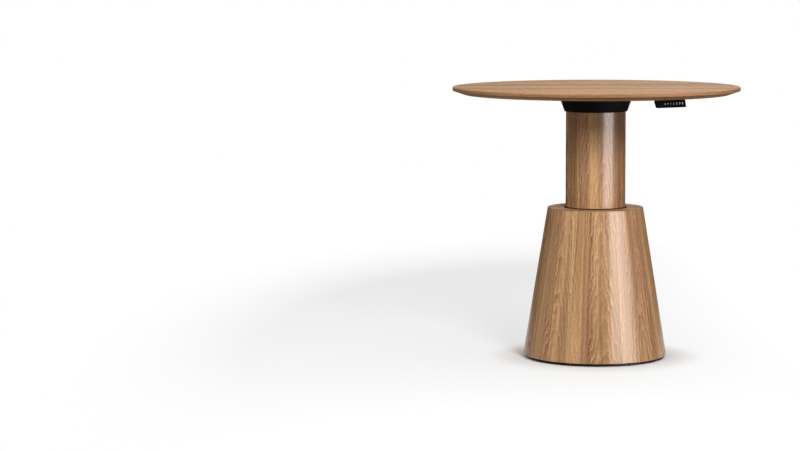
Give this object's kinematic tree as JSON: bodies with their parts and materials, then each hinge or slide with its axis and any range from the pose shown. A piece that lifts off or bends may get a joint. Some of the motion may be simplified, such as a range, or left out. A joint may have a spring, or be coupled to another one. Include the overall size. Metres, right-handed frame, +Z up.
{
  "type": "telescoping pedestal table",
  "caption": "Round wooden table whose top rises and sinks on a motor column, with a cone base, a round column sleeve, a black collar and a keypad under the edge.",
  "frame": {"origin": "on the floor, under the middle of the column", "axes": "+Z up along the column, front along -Y, keypad at the front right"},
  "size_m": [1.1999, 1.2, 1.14],
  "materials": {
    "top_wood": "satin",
    "sleeve_wood": "satin",
    "cone_wood": "satin",
    "plywood": "matte",
    "collar_black": "satin",
    "guide_black": "matte",
    "plate_black": "matte",
    "tube_grey": "satin",
    "fastener_steel": "satin",
    "glide_black": "matte",
    "grommet_rubber": "matte",
    "pad_white": "satin",
    "brass": "satin",
    "ground_steel": "polished",
    "planet_polymer": "satin",
    "motor_zinc": "satin",
    "magnet_ferrite": "matte",
    "motor_cap_black": "satin",
    "control_box_black": "satin",
    "inlet_black": "satin",
    "board_green": "satin",
    "keypad_black": "satin",
    "panel_black": "gloss",
    "display_black": "gloss",
    "key_black": "satin"
  },
  "bodies": {
    "base": {"floor_glides": "glide_black", "base_plate": "plate_black", "cable_grommet": "grommet_rubber", "shell_screws": "fastener_steel", "flange_bolts": "fastener_steel", "cone_shell": "cone_wood", "cone_cap": "cone_wood", "foot_former": "plywood", "top_former": "plywood", "guide_ring": "guide_black", "guide_screws": "fastener_steel", "foot_flange": "plate_black", "outer_tube": "tube_grey", "outer_pads": "pad_white", "nut_tube": "tube_grey", "spindle_nut": "brass", "control_box_tray": "control_box_black", "control_box_lid": "control_box_black", "control_board": "board_green", "mains_inlet": "inlet_black"},
    "top": {"tabletop": "top_wood", "top_inserts": "brass", "top_screws": "fastener_steel", "top_plate": "tube_grey", "collar": "collar_black", "column_sleeve": "sleeve_wood", "sleeve_ring": "plywood", "ring_screws": "fastener_steel", "head_flange": "tube_grey", "head_bolts": "fastener_steel", "inner_tube": "tube_grey", "inner_pads": "pad_white", "bulkhead": "tube_grey", "bearing_outer_race": "ground_steel", "ring_gear": "ground_steel", "motor_can": "motor_zinc", "motor_magnets": "magnet_ferrite", "motor_cap": "motor_cap_black", "keypad_housing": "keypad_black", "keypad_face": "panel_black", "keypad_display": "display_black", "keypad_board": "board_green", "keypad_screws": "fastener_steel"},
    "spindle": {"spindle": "ground_steel", "bearing_inner_race": "ground_steel", "planet_carrier": "ground_steel"},
    "bearing_cage": {"bearing_balls": "ground_steel"},
    "rotor": {"rotor": "ground_steel", "sun_gear": "ground_steel"},
    "planet_1": {"planet_gear_1": "planet_polymer"},
    "planet_2": {"planet_gear_2": "planet_polymer"},
    "planet_3": {"planet_gear_3": "planet_polymer"},
    "key_up": {"key_up": "key_black"},
    "key_down": {"key_down": "key_black"},
    "key_save": {"key_save": "key_black"},
    "key_1": {"key_1": "key_black"},
    "key_2": {"key_2": "key_black"},
    "key_3": {"key_3": "key_black"},
    "key_4": {"key_4": "key_black"}
  },
  "joints": [
    {"name": "lift", "type": "slide", "parent": "base", "child": "top", "axis": [0, 0, 1], "range_m": [-0.395, 0]},
    {"name": "spindle_spin", "type": "hinge", "parent": "top", "child": "spindle", "pos_m": [0, 0, 0.9], "axis": [0, 0, 1], "continuous": true},
    {"name": "cage_spin", "type": "hinge", "parent": "top", "child": "bearing_cage", "pos_m": [0, 0, 0.9], "axis": [0, 0, 1], "continuous": true},
    {"name": "rotor_spin", "type": "hinge", "parent": "top", "child": "rotor", "pos_m": [0, 0, 0.9], "axis": [0, 0, 1], "continuous": true},
    {"name": "planet_1_spin", "type": "hinge", "parent": "spindle", "child": "planet_1", "pos_m": [0.015, 0, 0.9], "axis": [0, 0, 1], "continuous": true},
    {"name": "planet_2_spin", "type": "hinge", "parent": "spindle", "child": "planet_2", "pos_m": [-0.0075, 0.01299, 0.9], "axis": [0, 0, 1], "continuous": true},
    {"name": "planet_3_spin", "type": "hinge", "parent": "spindle", "child": "planet_3", "pos_m": [-0.0075, -0.01299, 0.9], "axis": [0, 0, 1], "continuous": true},
    {"name": "key_up_press", "type": "slide", "parent": "top", "child": "key_up", "axis": [0.4841, -0.8384, 0.2504], "range_m": [-0.0008, 0], "stiffness_N_per_m": 250},
    {"name": "key_down_press", "type": "slide", "parent": "top", "child": "key_down", "axis": [0.4841, -0.8384, 0.2504], "range_m": [-0.0008, 0], "stiffness_N_per_m": 250},
    {"name": "key_save_press", "type": "slide", "parent": "top", "child": "key_save", "axis": [0.4841, -0.8384, 0.2504], "range_m": [-0.0008, 0], "stiffness_N_per_m": 250},
    {"name": "key_1_press", "type": "slide", "parent": "top", "child": "key_1", "axis": [0.4841, -0.8384, 0.2504], "range_m": [-0.0008, 0], "stiffness_N_per_m": 250},
    {"name": "key_2_press", "type": "slide", "parent": "top", "child": "key_2", "axis": [0.4841, -0.8384, 0.2504], "range_m": [-0.0008, 0], "stiffness_N_per_m": 250},
    {"name": "key_3_press", "type": "slide", "parent": "top", "child": "key_3", "axis": [0.4841, -0.8384, 0.2504], "range_m": [-0.0008, 0], "stiffness_N_per_m": 250},
    {"name": "key_4_press", "type": "slide", "parent": "top", "child": "key_4", "axis": [0.4841, -0.8384, 0.2504], "range_m": [-0.0008, 0], "stiffness_N_per_m": 250}
  ],
  "couplings": [
    {"joint": "spindle_spin", "follows": "lift", "rad_per_m": 314.16},
    {"joint": "cage_spin", "follows": "lift", "rad_per_m": 135.17},
    {"joint": "rotor_spin", "follows": "lift", "rad_per_m": 1570.8},
    {"joint": "planet_1_spin", "follows": "lift", "rad_per_m": -837.76},
    {"joint": "planet_2_spin", "follows": "lift", "rad_per_m": -837.76},
    {"joint": "planet_3_spin", "follows": "lift", "rad_per_m": -837.76}
  ]
}
